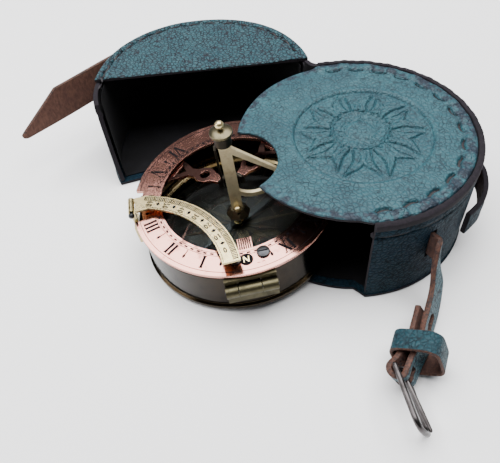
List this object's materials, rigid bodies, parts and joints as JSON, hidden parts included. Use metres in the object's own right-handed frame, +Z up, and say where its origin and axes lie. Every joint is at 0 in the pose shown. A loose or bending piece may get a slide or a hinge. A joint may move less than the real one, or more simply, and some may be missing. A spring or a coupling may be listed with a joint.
{
  "type": "pocket sundial",
  "caption": "Pocket sundial: hinged hour ring with folding latitude arc and gnomon on a round compass, half out of its round leather case with a strap and buckle.",
  "frame": {"origin": "centre of the round case's underside, on the table", "axes": "+Z up out of the case's top, +X from the case's mouth towards its closed side, +Y towards the flap's hinge"},
  "size_m": [0.1837, 0.1916, 0.0587],
  "materials": {
    "teal_leather": "grained teal leather with dark edges",
    "brown_leather": "brown flesh side of the leather",
    "black_lining": "black suede lining",
    "dark_buckle_metal": "dark antique buckle",
    "antique_bronze": "dark antique patina",
    "brass": "pale aged brass",
    "copper": "bright copper plate with dark engraving",
    "blackened_brass": "blackened",
    "dark_steel": "dark steel",
    "compass_card": "dark lacquered card",
    "glass": "clear"
  },
  "bodies": {
    "case": {"case_base": "teal_leather", "case_wall": "teal_leather", "case_top": "teal_leather", "case_base_lining": "black_lining", "case_wall_lining": "black_lining", "case_top_lining": "black_lining", "leather_hinge": "teal_leather", "strap_anchor": "brown_leather", "strap_loop": "teal_leather"},
    "flap": {"flap_base": "teal_leather", "flap_wall": "teal_leather", "flap_top": "teal_leather", "flap_base_lining": "black_lining", "flap_wall_lining": "black_lining", "flap_top_lining": "black_lining", "closing_strap_tail": "brown_leather"},
    "closing_strap": {"closing_strap": "brown_leather"},
    "buckle_strap": {"buckle_strap": "teal_leather"},
    "keeper": {"strap_keeper": "teal_leather"},
    "buckle": {"buckle_frame": "dark_buckle_metal", "buckle_bar": "dark_buckle_metal"},
    "prong": {"buckle_prong": "dark_buckle_metal"},
    "compass": {"compass_box": "antique_bronze", "compass_card": "compass_card", "compass_pivot": "brass", "compass_glass": "glass", "glass_ring": "brass", "hinge_box_leaf": "brass", "hinge_pin": "dark_steel", "arc_bracket": "brass", "latitude_arc_pin": "dark_steel"},
    "needle": {"compass_needle": "dark_steel", "needle_cap": "brass"},
    "dial": {"hour_ring": "copper", "ring_arm_1": "copper", "ring_arm_2": "copper", "hub_socket": "blackened_brass", "hinge_dial_leaf": "brass", "hinge_screw_1": "dark_steel", "hinge_screw_2": "dark_steel"},
    "latitude_arc": {"latitude_arc": "brass"},
    "gnomon": {"gnomon_blade": "brass", "gnomon_hub": "blackened_brass", "gnomon_collar": "antique_bronze", "gnomon_foot_pin": "blackened_brass", "gnomon_neck": "blackened_brass", "gnomon_disc": "antique_bronze", "gnomon_ball": "brass", "gnomon_spring": "blackened_brass"}
  },
  "joints": [
    {"name": "flap_swing", "type": "hinge", "parent": "case", "child": "flap", "pos_m": [-0.0075, 0.046, 0], "axis": [0, 0, 1], "range_deg": [-60, 7]},
    {"name": "closing_strap_bend", "type": "hinge", "parent": "flap", "child": "closing_strap", "pos_m": [-0.08558, 0.0802, 0], "axis": [0, 0, 1], "range_deg": [-70, 0]},
    {"name": "buckle_strap_bend", "type": "hinge", "parent": "case", "child": "buckle_strap", "pos_m": [0.02113, -0.04332, 0], "axis": [0, 0, 1], "range_deg": [-15, 25]},
    {"name": "keeper_slide", "type": "slide", "parent": "buckle_strap", "child": "keeper", "axis": [0.5319, 0.8191, -0.2149], "range_m": [0, 0.003]},
    {"name": "buckle_turn", "type": "hinge", "parent": "buckle_strap", "child": "buckle", "pos_m": [0.0022, -0.0796, 0.0077], "axis": [-0.4321, -0.0618, 0.8997], "range_deg": [-14, 18]},
    {"name": "prong_swing", "type": "hinge", "parent": "buckle", "child": "prong", "pos_m": [0.0022, -0.0796, 0.0077], "axis": [0.4321, 0.0618, -0.8997], "range_deg": [0, 75]},
    {"name": "sundial_slide", "type": "slide", "parent": "case", "child": "compass", "axis": [-0.9792, -0.203, 0], "range_m": [0, 0.09]},
    {"name": "needle_spin", "type": "hinge", "parent": "compass", "child": "needle", "pos_m": [-0.0446, -0.00919, 0.00669], "axis": [-0.0654, 0, 0.9979], "continuous": true},
    {"name": "dial_lift", "type": "hinge", "parent": "compass", "child": "dial", "pos_m": [-0.04185, -0.04864, 0.01759], "axis": [0.9941, 0.0872, 0.0652], "range_deg": [-2.6, 2.2]},
    {"name": "arc_fold", "type": "hinge", "parent": "compass", "child": "latitude_arc", "pos_m": [-0.08334, -0.01247, 0.0251], "axis": [0.087, -0.9962, 0.0057], "range_deg": [0, 90]},
    {"name": "gnomon_turn", "type": "hinge", "parent": "dial", "child": "gnomon", "pos_m": [-0.0452, -0.00925, 0.02512], "axis": [-0.0613, -0.0459, 0.9971], "range_deg": [-60, 18]}
  ]
}
